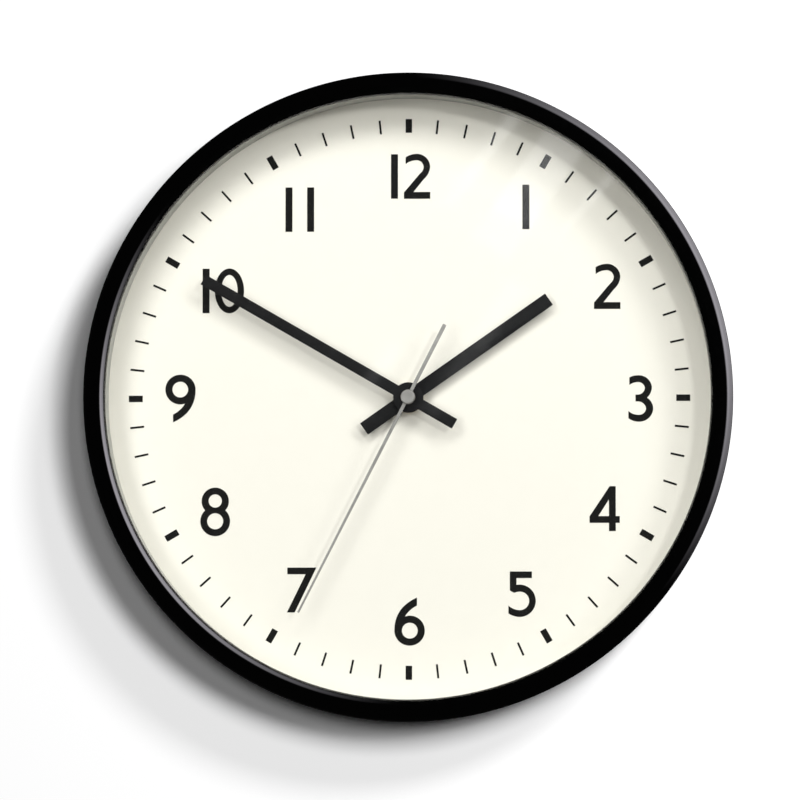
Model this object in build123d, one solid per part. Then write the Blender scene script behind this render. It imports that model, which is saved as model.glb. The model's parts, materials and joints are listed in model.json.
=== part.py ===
from build123d import *
import math
import os

# Round quartz wall clock, twelve inches across, with a black moulded case.
# Every piece is drawn in the dial frame, in millimetres: x to the right, y up the dial and
# z out of the wall towards the viewer, with z = 0 on the wall and the hands turning on x = y = 0.
# upright() then stands each piece up: Z up, the dial facing -Y, the wall on the plane Y = 0.

# ---- driving dimensions: case ------------------------------------------------------------
CASE_R = 150.0          # outer radius, a 300 mm clock
CASE_DEPTH = 46.0       # wall to the front of the bezel
CASE_WALL = 2.8
WALL_IN_R = CASE_R - CASE_WALL
LIP_R = 139.7           # clear opening in front of the glass
LIP_BACK_Z = 41.0       # rear face of the bezel lip
OUTER_ROUND = 3.2       # rounding between the case side and the bezel front
INNER_ROUND = 3.4       # rounding between the bezel front and the lip
SEAT_R = 143.7          # bore that centres the glass, spacer and dial
SEAT_BACK_Z = 36.0
RIM_CHAMFER = 0.6
LOCATING_RIBS = 12
RIB_THICK = 1.6
RIB_BACK_Z = 20.6
RIB_START = 15.0        # angle of the first locating rib
ROOT = 0.4              # how far a rib or web runs into the wall it grows from
BLEND = 0.5             # how far a rib's end runs into the face it meets

# ---- glass, spacer and dial --------------------------------------------------------------
DIAL_BACK_Z = 21.0
DIAL_Z = 22.0           # printed face of the dial
DIAL_R = 143.2
DIAL_HOLE_R = 4.15
STACK_R = 143.4         # glass, gasket and spacer radius
SPACER_IN_R = 140.4
SPACER_FRONT_Z = 38.4
LENS_BACK_Z = 38.5
LENS_FRONT_Z = 40.5
GASKET_IN_R = 140.9
INK = 0.1               # thickness that stands for printed ink

# ---- dial printing -----------------------------------------------------------------------
TRACK_OUT_R = 130.9
TRACK_IN_R = 124.4
HOUR_MARK_W = 3.0
MINUTE_MARK_W = 0.95
CAP_H = 20.85           # height of a flat-topped figure
STROKE = 3.25

# ---- hands, as the clock stands ----------------------------------------------------------
HOUR_ANGLE = 55.0       # degrees clockwise from twelve
MINUTE_ANGLE = 300.0
SECOND_ANGLE = 207.0
HUB_R = 7.0
HOUR_LENGTH = 79.8
HOUR_TAIL = 25.3
HOUR_W = 6.4
MINUTE_LENGTH = 110.3
MINUTE_TAIL = 24.8
MINUTE_W = 5.1
SECOND_LENGTH = 112.0
SECOND_TAIL = 37.7
SECOND_TIP_W = 0.95
SECOND_TAIL_W = 1.8
SECOND_HUB_R = 3.0
BOSS_R = 3.4
BOSS_NECK_R = 1.9
BOSS_EDGE = 0.6
HOUR_HAND_Z = (26.4, 27.0)
MINUTE_HAND_Z = (29.6, 30.2)
SECOND_HAND_Z = (33.4, 33.7)
BOSS_Z = (32.5, 35.4)
COLLAR_R = 3.6
COLLAR_BACK_Z = 25.7
HAND_NUT_R = 2.8
HAND_NUT_FRONT_Z = 31.9

# ---- rear cover and hanger ---------------------------------------------------------------
COVER_R = 146.6
COVER_Z = (3.0, 5.2)
PRESS_RING_R = (133.0, 135.0)
WINDOW = 60.0           # square window the movement shows through
WINDOW_WALL = 1.8
WINDOW_CORNER = 3.0
WINDOW_RIM_Z = 10.0
COVER_RIBS = 8
COVER_RIB_Z = 8.2
COVER_RIB_IN_R = 46.0
COVER_RIB_W = 1.6
COVER_RIB_START = 22.5
SCREWS = 6
SCREW_CIRCLE_R = 141.5
SCREW_START = 30.0
SCREW_BOSS_R = 3.6
SCREW_BOSS_Z = (5.2, 20.5)
SCREW_WEB = 2.4
SCREW_R = 1.5
SCREW_HEAD_R = 2.9
SCREW_HEAD_H = 1.8
SCREW_END_Z = 13.2
SCREW_RELIEF = 1.5      # how far the hole runs past the screw's end
SCREW_GAP = 0.2         # radial clearance of a screw in the cover
THREAD_GAP = 0.05       # radial clearance of a screw in its boss
RECESS_DEPTH = 0.5      # cross recess, as a part of the head's height
RECESS_REACH = 0.62     # as a part of the head's radius
RECESS_HALF_W = 0.35
HANGER_Y = 95.0
HANGER_SIZE = (34.0, 26.0)
HANGER_Z = (1.8, 3.0)
HANGER_CORNER = 2.0
KEYHOLE_R = 4.5
KEYHOLE_Y = 90.5
SLOT_R = 2.3
SLOT_TOP_Y = 99.0
POCKET_SIZE = (16.0, 20.0)
POCKET_Y = 96.0
POCKET_WALL = 1.6
POCKET_Z = 11.0
HANGER_SCREW_X = 13.0
HANGER_SCREW_R = 1.2
HANGER_SCREW_HEAD_R = 2.4
HANGER_SCREW_HEAD_Z = 0.4
HANGER_SCREW_GAP = 0.15
HANGER_SCREW_END = 2.0  # from the screw's end to the pocket's floor
HANGER_HOLE_END = 1.0   # from the hole's end to the pocket's floor
HANGER_POST_R = 3.0

# ---- movement ----------------------------------------------------------------------------
BODY = 56.0             # square movement
BODY_Z = (3.5, 20.0)
BODY_WALL = 1.2
BODY_CORNER = 2.0
FRONT_WALL_Z = 18.6
LID_Z = (3.5, 4.7)
LID_GAP = 0.1
LID_POST = 2.4          # side of the square posts that the lid rests on
BLIND_FLOOR = 0.4       # lid left behind a pivot hole
DIVIDER_Y = (-11.5, -10.3)
CONTACT_SLOT_W = 0.6
CONTACT_SLOT_Z = (9.4, 11.8)
PLATE_X = 20.0
PLATE_Y = (-9.8, 14.5)
PLATE_Z = (12.1, 12.9)
PLATE_BORE_R = 3.2
PLATE_POST_R = 1.8
PLATE_POST_X = (-17.5, 17.5)
PLATE_POST_Y = (-7.5, 12.0)
STEM_R = 4.0
STEM_FLANGE_R = 6.0
STEM_FLANGE_Z = 17.4
STEM_FRONT_Z = 25.5
WASHER_R = 6.6
WASHER_Z = (22.0, 22.6)
NUT_FLATS = 11.0
NUT_FRONT_Z = 25.1
PAD_R = 10.0
RUN_GAP = 0.06          # radial clearance of a turning fit
SNUG_GAP = 0.05         # clearance of a fit that doesn't turn, or of two faces that just miss

# ---- arbors ------------------------------------------------------------------------------
SECONDS_ARBOR_R = 0.5
SECONDS_ARBOR_Z = (4.1, 35.0)
MINUTE_TUBE_R = 1.6
MINUTE_TUBE_REAR_R = 1.45
MINUTE_TUBE_Z = (10.35, 31.5)
HOUR_TUBE_R = 2.5
HOUR_TUBE_FRONT_Z = 28.0
PIVOT_R = 0.4
ROTOR_PIVOT_R = 0.3
ARBOR_Z = (4.0, 12.8)
STUD_R = 0.5
STUD_GAP = 0.1          # from the train plate to the stud's rear end
MINUTE_COLLAR_R = 2.0

# ---- gear levels, each a range of z ------------------------------------------------------
LEVEL_A = (6.0, 7.0)
LEVEL_B = (7.6, 8.6)
LEVEL_C = (9.2, 10.2)
LEVEL_D = (10.8, 11.8)
LEVEL_E = (13.2, 14.2)
LEVEL_F = (15.2, 16.4)

# ---- gears: (teeth, module), wheel and the pinion it meshes with --------------------------
ROTOR_PINION = (8, 0.25)
INTERMEDIATE_WHEEL = (48, 0.25)
INTERMEDIATE_PINION = (10, 0.3)
SECONDS_WHEEL = (50, 0.3)
SECONDS_PINION = (8, 0.25)
THIRD_WHEEL = (60, 0.25)
THIRD_PINION = (8, 8.5 / 36)
CENTRE_WHEEL = (64, 8.5 / 36)
CANNON_PINION = (12, 0.3125)
MOTION_WHEEL = (36, 0.3125)
KNOB_PINION = (12, 0.3125)
MOTION_PINION = (10, 0.3)
HOUR_WHEEL = (40, 0.3)

# ---- hubs, and the lightening holes of each wheel: how many, their circle and their radius ------
INTERMEDIATE_HUB_R = 1.1
INTERMEDIATE_HOLES = (4, 3.5, 1.4)
SECONDS_HUB_R = 0.75
SECONDS_HOLES = (5, 4.2, 1.6)
THIRD_HUB_R = 0.7
THIRD_HUB_STEP = 0.3    # how far the hub stands behind its wheel
THIRD_HOLES = (5, 4.2, 1.6)
CENTRE_HOLES = (5, 4.8, 1.6)
MOTION_HUB_R = 1.2
MOTION_HOLES = (4, 3.3, 1.2)
ROTOR_HUB_R = 0.7
ROTOR_HUB_STEP = 0.4
CLUTCH_OUT_R = 2.9
CLUTCH_LAND = 0.25      # width of the clutch spring's flat rim, and depth of its bore
CLUTCH_T = 0.15
CLUTCH_RIM_T = 0.1

PRESSURE_ANGLE = math.radians(20)
PROFILE_SHIFT = 0.4     # added to every pinion, taken from every wheel
ADDENDUM = 0.9
ROOT_CLEARANCE = 0.25
BACKLASH = 0.1          # taken from each tooth, in modules

# ---- battery, knob, coil and board ---------------------------------------------------------
CELL_R = 7.1
CELL_LENGTH = 49.2
CELL_NUB_R = 2.75
CELL_NUB = 1.2
CELL_Y = -19.15
CELL_Z = 11.0
CELL_EDGE = 0.6
KNOB_R = 6.0
KNOB_Z = (1.3, 3.3)
KNOB_GRIPS = 20
GRIP_R = 0.55
KNOB_SHAFT_R = 1.2
KNOB_SHAFT_FRONT_Z = 14.6
MAGNET_R = 2.4
MAGNET_Z = (9.6, 11.8)
MAGNET_GAP = 0.35
STATOR_Z = (10.6, 11.6)
STATOR_ARM = 3.0
STATOR_BRIDGE_Y = 12.3
STATOR_EYE_R = 5.2
CORE_Z = (11.6, 12.6)
CORE_X = (-17.5, 13.9)
CORE_H = 2.4
CORE_POST_R = 1.3
CORE_POST_X = (-16.0, 12.4)
COIL_Y = 21.5
COIL_Z = sum(CORE_Z) / 2
COIL_HALF = 10.5
FLANGE_R = 4.4
FLANGE_T = 0.8
BOBBIN_R = 2.0
WINDING_R = 3.9
BOARD_X = (14.5, 26.2)
BOARD_Y = (5.0, 24.2)
BOARD_Z = (9.0, 10.0)
BOARD_POST_R = 1.2
BOARD_POSTS = ((24.0, 14.0), (16.0, 22.5))
CRYSTAL_R = 1.0
CRYSTAL_X = (16.5, 22.5)
CRYSTAL_Y = 8.0
CHIP_R = 3.0
CHIP_H = 0.9
CHIP_AT = (20.5, 17.0)


# ---- helpers -----------------------------------------------------------------------------
def upright(shape):
    """Stand a piece up: the dial frame's y becomes Z and its z becomes -Y."""
    return shape.rotate(Axis.X, 90)


def polar(radius, degrees, origin=(0.0, 0.0)):
    """The point at a radius and an angle, counter-clockwise from +x, from an origin."""
    angle = math.radians(degrees)
    return (origin[0] + radius * math.cos(angle), origin[1] + radius * math.sin(angle))


def disc(radius, z_range, at=(0.0, 0.0)):
    """A round plug between two heights."""
    low, high = z_range
    return Pos(at[0], at[1], (low + high) / 2) * Cylinder(radius, high - low)


def ring(outer, inner, z_range, at=(0.0, 0.0)):
    """A tube between two heights."""
    return disc(outer, z_range, at) - disc(inner, z_range, at)


def block(x_range, y_range, z_range):
    """A box between two corners."""
    size = [high - low for low, high in (x_range, y_range, z_range)]
    middle = [(high + low) / 2 for low, high in (x_range, y_range, z_range)]
    return Pos(*middle) * Box(*size)


def square_block(side, z_range, corner):
    """A square prism with rounded corners."""
    low, high = z_range
    return Pos(0, 0, low) * extrude(RectangleRounded(side, side, corner), high - low)


def around(count, start, make):
    """The pieces that make(degrees) gives at equal angles."""
    return [make(start + 360.0 / count * turn) for turn in range(count)]


def x_rod(radius, x_range, y, z):
    """A round bar along x."""
    low, high = x_range
    return Pos((low + high) / 2, y, z) * Rot(0, 90, 0) * Cylinder(radius, high - low)


def face_along(start, steps):
    """A flat face. A step is a corner, or a (through, corner) pair where the edge is an arc."""
    edges = []
    here = start
    for step in steps:
        if isinstance(step[0], tuple):
            through, corner = step
            edges.append(ThreePointArc(here, through, corner))
        else:
            corner = step
            edges.append(Line(here, corner))
        here = corner
    if here != start:
        edges.append(Line(here, start))
    return make_face(edges)


# ---- gears -------------------------------------------------------------------------------
def involute(angle):
    return math.tan(angle) - angle


def gear_radii(teeth, module, is_pinion):
    """Pitch, root and tip radius of a long- or short-addendum gear."""
    shift = PROFILE_SHIFT if is_pinion else -PROFILE_SHIFT
    pitch = teeth * module / 2
    tip = pitch + (ADDENDUM + shift) * module
    root = pitch - (ADDENDUM + ROOT_CLEARANCE - shift) * module
    return pitch, root, tip


def gear(size, is_pinion, z_range, phase=0.0, bore=0.0):
    """A spur gear with one tooth centred on the phase angle, in degrees."""
    teeth, module = size
    pitch, root, tip = gear_radii(teeth, module, is_pinion)
    shift = PROFILE_SHIFT if is_pinion else -PROFILE_SHIFT
    base = pitch * math.cos(PRESSURE_ANGLE)
    thickness = module * (math.pi / 2 + 2 * shift * math.tan(PRESSURE_ANGLE) - BACKLASH)

    def half_angle(radius):
        """Half of the angle that a tooth fills at a radius."""
        slope = math.acos(min(1.0, base / radius))
        at_pitch = thickness / (2 * pitch) + involute(PRESSURE_ANGLE)
        return math.degrees(at_pitch - involute(slope))

    foot = max(root, base)
    middle = (foot + tip) / 2
    step = 360.0 / teeth
    edges = []
    for tooth in range(teeth):
        axis = phase + tooth * step
        low_right = polar(foot, axis - half_angle(foot))
        high_right = polar(tip, axis - half_angle(tip))
        high_left = polar(tip, axis + half_angle(tip))
        low_left = polar(foot, axis + half_angle(foot))
        root_right = polar(root, axis - half_angle(foot))
        root_left = polar(root, axis + half_angle(foot))
        next_root = polar(root, axis + step - half_angle(foot))
        if foot > root:
            edges.append(Line(root_right, low_right))
            edges.append(Line(low_left, root_left))
        edges.append(ThreePointArc(low_right, polar(middle, axis - half_angle(middle)), high_right))
        edges.append(ThreePointArc(high_right, polar(tip, axis), high_left))
        edges.append(ThreePointArc(high_left, polar(middle, axis + half_angle(middle)), low_left))
        edges.append(ThreePointArc(root_left, polar(root, axis + step / 2), next_root))
    profile = make_face(edges)
    if bore > 0:
        profile = profile - Circle(bore)
    return Pos(0, 0, z_range[0]) * extrude(profile, z_range[1] - z_range[0])


def meshed_phase(teeth, phase, other_teeth, direction):
    """Phase of a gear that meshes with this one, lying in a direction from it, in degrees."""
    pitch_angle = 360.0 / teeth
    other_pitch_angle = 360.0 / other_teeth
    share = ((direction - phase) / pitch_angle) % 1.0
    return direction + 180.0 - other_pitch_angle * (0.5 - share)


def centre_distance(first, second):
    return (first[0] + second[0]) * first[1] / 2


# ---- where each arbor stands ---------------------------------------------------------------
INTERMEDIATE_BEARING = 150.0
ROTOR_BEARING = 120.0
THIRD_BEARING = 60.0
MOTION_BEARING = -10.0
KNOB_BEARING = 25.0

INTERMEDIATE_AT = polar(centre_distance(SECONDS_WHEEL, INTERMEDIATE_PINION), INTERMEDIATE_BEARING)
ROTOR_AT = polar(centre_distance(INTERMEDIATE_WHEEL, ROTOR_PINION), ROTOR_BEARING, INTERMEDIATE_AT)
THIRD_AT = polar(centre_distance(THIRD_WHEEL, SECONDS_PINION), THIRD_BEARING)
MOTION_AT = polar(centre_distance(MOTION_WHEEL, CANNON_PINION), MOTION_BEARING)
KNOB_AT = polar(centre_distance(MOTION_WHEEL, KNOB_PINION), KNOB_BEARING, MOTION_AT)

INTERMEDIATE_PHASE = meshed_phase(SECONDS_WHEEL[0], 0.0, INTERMEDIATE_PINION[0], INTERMEDIATE_BEARING)
ROTOR_PHASE = meshed_phase(INTERMEDIATE_WHEEL[0], 0.0, ROTOR_PINION[0], ROTOR_BEARING)
THIRD_PHASE = meshed_phase(SECONDS_PINION[0], 0.0, THIRD_WHEEL[0], THIRD_BEARING)
CENTRE_PHASE = meshed_phase(THIRD_PINION[0], 0.0, CENTRE_WHEEL[0], THIRD_BEARING + 180.0)
MOTION_PHASE = meshed_phase(CANNON_PINION[0], 0.0, MOTION_WHEEL[0], MOTION_BEARING)
HOUR_PHASE = meshed_phase(MOTION_PINION[0], 0.0, HOUR_WHEEL[0], MOTION_BEARING + 180.0)
KNOB_PHASE = meshed_phase(MOTION_WHEEL[0], MOTION_PHASE, KNOB_PINION[0], KNOB_BEARING)


# ---- case, glass and dial ------------------------------------------------------------------
def case_ring():
    """Moulded ring: side wall, rounded bezel, lip, glass seat, locating ribs and screw bosses."""
    outer_mid = polar(OUTER_ROUND, 45, (CASE_R - OUTER_ROUND, CASE_DEPTH - OUTER_ROUND))
    inner_mid = polar(INNER_ROUND, 135, (LIP_R + INNER_ROUND, CASE_DEPTH - INNER_ROUND))
    profile = face_along(
        (WALL_IN_R, 0.0),
        [
            (CASE_R - RIM_CHAMFER, 0.0),
            (CASE_R, RIM_CHAMFER),
            (CASE_R, CASE_DEPTH - OUTER_ROUND),
            (outer_mid, (CASE_R - OUTER_ROUND, CASE_DEPTH)),
            (LIP_R + INNER_ROUND, CASE_DEPTH),
            (inner_mid, (LIP_R, CASE_DEPTH - INNER_ROUND)),
            (LIP_R, LIP_BACK_Z),
            (SEAT_R, LIP_BACK_Z),
            (SEAT_R, SEAT_BACK_Z),
            (WALL_IN_R, SEAT_BACK_Z),
        ],
    )
    shell = revolve(Plane.XZ * profile, Axis.Z)
    root_r = WALL_IN_R + ROOT

    def locating_rib(degrees):
        rib_z = (RIB_BACK_Z, SEAT_BACK_Z + BLEND)
        return Rot(0, 0, degrees) * block((SEAT_R, root_r), (-RIB_THICK / 2, RIB_THICK / 2), rib_z)

    def screw_boss(degrees):
        post = disc(SCREW_BOSS_R, SCREW_BOSS_Z, (SCREW_CIRCLE_R, 0.0))
        web = block((SCREW_CIRCLE_R, root_r), (-SCREW_WEB / 2, SCREW_WEB / 2), SCREW_BOSS_Z)
        hole_z = (SCREW_BOSS_Z[0], SCREW_END_Z + SCREW_RELIEF)
        hole = disc(SCREW_R, hole_z, (SCREW_CIRCLE_R, 0.0))
        return Rot(0, 0, degrees) * (post + web - hole)

    ribs = around(LOCATING_RIBS, RIB_START, locating_rib)
    return shell + ribs + around(SCREWS, SCREW_START, screw_boss)


def lens():
    return disc(STACK_R, (LENS_BACK_Z, LENS_FRONT_Z))


def lens_gasket():
    return ring(STACK_R, GASKET_IN_R, (LENS_FRONT_Z, LIP_BACK_Z))


def spacer_ring():
    """White ring that holds the dial away from the glass."""
    return ring(STACK_R, SPACER_IN_R, (DIAL_Z, SPACER_FRONT_Z))


def dial_plate():
    return ring(DIAL_R, DIAL_HOLE_R, (DIAL_BACK_Z, DIAL_Z))


def printed(faces):
    """Flat faces laid on the dial as a coat of ink."""
    return Pos(0, 0, DIAL_Z) * extrude(Sketch() + faces, INK)


def track_mark(width):
    """A maker of one radial mark of the minute track."""
    length = TRACK_OUT_R - TRACK_IN_R
    middle_r = (TRACK_OUT_R + TRACK_IN_R) / 2
    return lambda degrees: Rot(0, 0, degrees) * Pos(middle_r, 0) * Rectangle(length, width)


def hour_marks():
    return printed(around(12, 0.0, track_mark(HOUR_MARK_W)))


def minute_marks():
    mark = track_mark(MINUTE_MARK_W)
    return printed([mark(6.0 * minute) for minute in range(60) if minute % 5])


# ---- figures: each is drawn from its own lower left corner, or its ring's centre -----------
def figure_one():
    return Pos(STROKE / 2, CAP_H / 2) * Rectangle(STROKE, CAP_H)


def figure_two():
    return face_along(
        (0.0, 0.0),
        [
            (12.27, 0.0),
            (12.27, 3.17),
            (4.44, 3.17),
            (9.27, 9.2),
            ((11.55, 12.2), (12.27, 14.9)),
            ((10.44, 19.27), (5.97, 21.1)),
            ((3.3, 20.7), (0.77, 19.53)),
            (0.77, 16.25),
            ((3.2, 17.65), (5.7, 18.1)),
            ((8.2, 17.2), (9.2, 14.8)),
            ((8.77, 13.3), (7.44, 11.77)),
            (0.0, 3.0),
        ],
    )


def figure_three():
    return face_along(
        (0.0, 1.6),
        [
            ((2.2, 0.41), (4.66, 0.0)),
            ((9.5, 1.74), (11.5, 5.93)),
            ((10.93, 8.6), (8.66, 11.17)),
            ((10.33, 13.4), (10.93, 16.1)),
            ((9.0, 19.99), (4.33, 21.6)),
            ((2.35, 21.35), (0.5, 20.6)),
            (0.5, 17.1),
            ((2.33, 18.1), (4.33, 18.43)),
            ((6.68, 17.66), (7.66, 15.8)),
            ((6.73, 13.6), (4.53, 12.6)),
            (3.33, 12.6),
            (3.33, 9.43),
            (4.63, 9.43),
            ((7.13, 8.35), (8.23, 6.1)),
            ((7.18, 4.03), (4.66, 3.17)),
            ((2.17, 3.63), (0.0, 4.93)),
        ],
    )


def figure_four():
    outside = face_along(
        (0.0, 3.83),
        [
            (9.0, 3.83),
            (9.0, 0.0),
            (12.15, 0.0),
            (12.15, 3.83),
            (14.0, 3.83),
            (14.0, 6.95),
            (12.15, 6.95),
            (12.15, CAP_H),
            (9.33, CAP_H),
            (0.0, 6.85),
        ],
    )
    return outside - face_along((4.05, 6.95), [(9.0, 6.95), (9.0, 14.7)])


def figure_five():
    return face_along(
        (0.66, 21.1),
        [
            (10.9, 21.1),
            (10.9, 18.04),
            (3.73, 18.04),
            (3.73, 14.88),
            ((10.48, 12.8), (12.68, 7.5)),
            ((10.48, 2.2), (5.18, 0.0)),
            ((2.4, 0.47), (0.0, 1.62)),
            (0.0, 5.27),
            ((2.35, 3.76), (5.15, 3.15)),
            ((8.31, 4.37), (9.66, 7.47)),
            ((8.31, 10.57), (5.05, 11.77)),
            ((3.85, 11.6), (2.66, 11.17)),
            (0.66, 12.27),
        ],
    )


def figure_six():
    """Drawn from the centre of its ring."""
    outside = face_along(
        (3.34, 11.65),
        [
            (3.34, 15.35),
            ((-0.43, 13.25), (-3.33, 10.8)),
            ((-6.0, 6.5), (-7.16, 0.5)),
            ((-5.03, -4.95), (0.0, -6.97)),
            ((4.93, -4.93), (6.97, 0.0)),
            ((4.93, 4.93), (0.0, 6.95)),
            ((-1.13, 6.84), (-2.28, 6.57)),
            ((-0.23, 9.15), (3.34, 11.65)),
        ],
    )
    return outside - Circle(3.68)


def figure_seven():
    return face_along(
        (0.0, 0.0),
        [
            (3.6, 0.0),
            (13.7, CAP_H),
            (0.17, CAP_H),
            (0.17, 17.75),
            (8.7, 17.75),
        ],
    )


def figure_eight():
    """Drawn from the centre of its lower ring."""
    outside = Circle(6.95) + Pos(0, 9.33) * Circle(6.37)
    return outside - Circle(3.75) - Pos(0, 9.45) * Circle(3.1)


def figure_nine():
    """A six turned upside down about its ring."""
    return Rot(0, 0, 180) * figure_six()


def figure_zero():
    """Drawn from its centre."""
    return Ellipse(6.85, 10.5) - Ellipse(3.85, 7.45)


FIGURES = [
    (figure_one, -8.33, 93.5),
    (figure_two, -2.27, 93.4),
    (figure_one, 53.05, 78.95),
    (figure_two, 86.33, 41.5),
    (figure_three, 102.17, -11.1),
    (figure_four, 84.0, -61.95),
    (figure_five, 46.27, -101.77),
    (figure_six, 0.43, -108.1),
    (figure_seven, -56.77, -99.65),
    (figure_eight, -90.33, -57.2),
    (figure_nine, -106.83, 4.33),
    (figure_one, -96.5, 40.07),
    (figure_zero, -83.93, 50.5),
    (figure_one, -57.72, 78.1),
    (figure_one, -47.57, 78.1),
]


def hour_numerals():
    return printed([Pos(x, y) * figure() for figure, x, y in FIGURES])


# ---- rear cover and hanger -----------------------------------------------------------------
def rear_cover():
    """Recessed back panel with a movement window, a hanger pocket, ribs and a dial-clamping ring."""
    panel_z, panel_front = COVER_Z
    reach = (panel_z, WINDOW_RIM_Z)
    panel = disc(COVER_R, COVER_Z)
    clamp_ring = ring(PRESS_RING_R[1], PRESS_RING_R[0], (panel_z, DIAL_BACK_Z))
    window_rim = square_block(WINDOW + 2 * WINDOW_WALL, reach, WINDOW_CORNER + WINDOW_WALL)

    def radial_rib(degrees):
        rib_x = (COVER_RIB_IN_R, PRESS_RING_R[0] + BLEND)
        rib = block(rib_x, (-COVER_RIB_W / 2, COVER_RIB_W / 2), (panel_z, COVER_RIB_Z))
        return Rot(0, 0, degrees) * rib

    def screw_hole(degrees):
        return disc(SCREW_R + SCREW_GAP, COVER_Z, polar(SCREW_CIRCLE_R, degrees))

    half_x, half_y = (side / 2 for side in POCKET_SIZE)
    wall = POCKET_WALL
    pocket_x = (-half_x - wall, half_x + wall)
    pocket_y = (POCKET_Y - half_y - wall, POCKET_Y + half_y + wall)
    pocket = block(pocket_x, pocket_y, (panel_z, POCKET_Z + wall))
    cavity = block((-half_x, half_x), (POCKET_Y - half_y, POCKET_Y + half_y), (panel_z, POCKET_Z))
    screw_places = [(side * HANGER_SCREW_X, HANGER_Y) for side in (-1, 1)]
    hole_z = (panel_z, POCKET_Z - HANGER_HOLE_END)
    posts = [disc(HANGER_POST_R, (panel_z, POCKET_Z), at) for at in screw_places]
    holes = [disc(HANGER_SCREW_R, hole_z, at) for at in screw_places]
    ribs = around(COVER_RIBS, COVER_RIB_START, radial_rib)
    cover = panel + clamp_ring + window_rim + pocket + posts + ribs
    window = square_block(WINDOW, (panel_z, WINDOW_RIM_Z), WINDOW_CORNER)
    return cover - window - cavity - holes - around(SCREWS, SCREW_START, screw_hole)


def pan_screw(at, head_r, shank_r, head_z, shank_z):
    """A pan-head screw with a cross recess, driven from the rear."""
    head = disc(head_r, (head_z, shank_z[0]), at)
    shank = disc(shank_r, shank_z, at)
    x, y = at
    half = RECESS_HALF_W
    arm = head_r * RECESS_REACH
    slot_z = (head_z, head_z + (shank_z[0] - head_z) * RECESS_DEPTH)
    across = block((x - arm, x + arm), (y - half, y + half), slot_z)
    up = block((x - half, x + half), (y - arm, y + arm), slot_z)
    return head + shank - across - up


def rear_cover_screws():
    head_z = COVER_Z[0] - SCREW_HEAD_H

    def screw(degrees):
        at = polar(SCREW_CIRCLE_R, degrees)
        return pan_screw(at, SCREW_HEAD_R, SCREW_R - THREAD_GAP, head_z, (COVER_Z[0], SCREW_END_Z))

    return Part() + around(SCREWS, SCREW_START, screw)


def hanger_plate():
    """Steel plate with a keyhole: a round entry below a slot that the nail slides up."""
    half_x, half_y = (side / 2 for side in HANGER_SIZE)
    plate = block((-half_x, half_x), (HANGER_Y - half_y, HANGER_Y + half_y), HANGER_Z)
    plate = fillet(plate.edges().filter_by(Axis.Z), HANGER_CORNER)
    entry = disc(KEYHOLE_R, HANGER_Z, (0.0, KEYHOLE_Y))
    slot = block((-SLOT_R, SLOT_R), (KEYHOLE_Y, SLOT_TOP_Y), HANGER_Z)
    slot_end = disc(SLOT_R, HANGER_Z, (0.0, SLOT_TOP_Y))
    hole_r = HANGER_SCREW_R + HANGER_SCREW_GAP
    holes = [disc(hole_r, HANGER_Z, (side * HANGER_SCREW_X, HANGER_Y)) for side in (-1, 1)]
    return plate - entry - slot - slot_end - holes


def hanger_screws():
    shank_r = HANGER_SCREW_R - THREAD_GAP
    shank_z = (HANGER_Z[0], POCKET_Z - HANGER_SCREW_END)

    def screw(side):
        at = (side * HANGER_SCREW_X, HANGER_Y)
        return pan_screw(at, HANGER_SCREW_HEAD_R, shank_r, HANGER_SCREW_HEAD_Z, shank_z)

    return Part() + [screw(side) for side in (-1, 1)]


# ---- movement: fixed pieces ----------------------------------------------------------------
def movement_housing():
    """Tray open to the rear, with a train room above a battery bay."""
    inner = BODY / 2 - BODY_WALL
    shell = square_block(BODY, BODY_Z, BODY_CORNER)
    battery_bay = block((-inner, inner), (-inner, DIVIDER_Y[0]), (BODY_Z[0], FRONT_WALL_Z))
    train_room = block((-inner, inner), (DIVIDER_Y[1], inner), (BODY_Z[0], FRONT_WALL_Z))
    lid_seat = block((-inner, inner), DIVIDER_Y, LID_Z)
    stem_hole = disc(STEM_R + SNUG_GAP, (FRONT_WALL_Z, BODY_Z[1]))
    contact_slots = [
        block(side, DIVIDER_Y, CONTACT_SLOT_Z)
        for side in ((-inner, -inner + CONTACT_SLOT_W), (inner - CONTACT_SLOT_W, inner))
    ]
    tray = shell - battery_bay - train_room - lid_seat - stem_hole - contact_slots

    lid_posts = [
        block(side, (inner - LID_POST, inner), (LID_Z[1], FRONT_WALL_Z))
        for side in ((-inner, -inner + LID_POST), (inner - LID_POST, inner))
    ]
    plate_posts = [
        disc(PLATE_POST_R, (PLATE_Z[1], FRONT_WALL_Z), (x, y))
        for x in PLATE_POST_X
        for y in PLATE_POST_Y
    ]
    core_posts = [disc(CORE_POST_R, (CORE_Z[1], FRONT_WALL_Z), (x, COIL_Y)) for x in CORE_POST_X]
    board_posts = [disc(BOARD_POST_R, (BOARD_Z[1], FRONT_WALL_Z), at) for at in BOARD_POSTS]
    stud = disc(STUD_R, (PLATE_Z[1] + STUD_GAP, FRONT_WALL_Z), MOTION_AT)
    return tray + lid_posts + plate_posts + core_posts + board_posts + stud


def movement_cover():
    """Lid over the train room, with the rear pivot holes and the knob's hole."""
    edge = BODY / 2 - BODY_WALL - LID_GAP
    lid = block((-edge, edge), (DIVIDER_Y[0] + LID_GAP, edge), LID_Z)
    blind = (LID_Z[0] + BLIND_FLOOR, LID_Z[1])
    pivots = [
        disc(SECONDS_ARBOR_R + RUN_GAP, blind),
        disc(PIVOT_R + RUN_GAP, blind, THIRD_AT),
        disc(PIVOT_R + RUN_GAP, blind, INTERMEDIATE_AT),
        disc(ROTOR_PIVOT_R + RUN_GAP, blind, ROTOR_AT),
    ]
    return lid - pivots - disc(KNOB_SHAFT_R + RUN_GAP, LID_Z, KNOB_AT)


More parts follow.
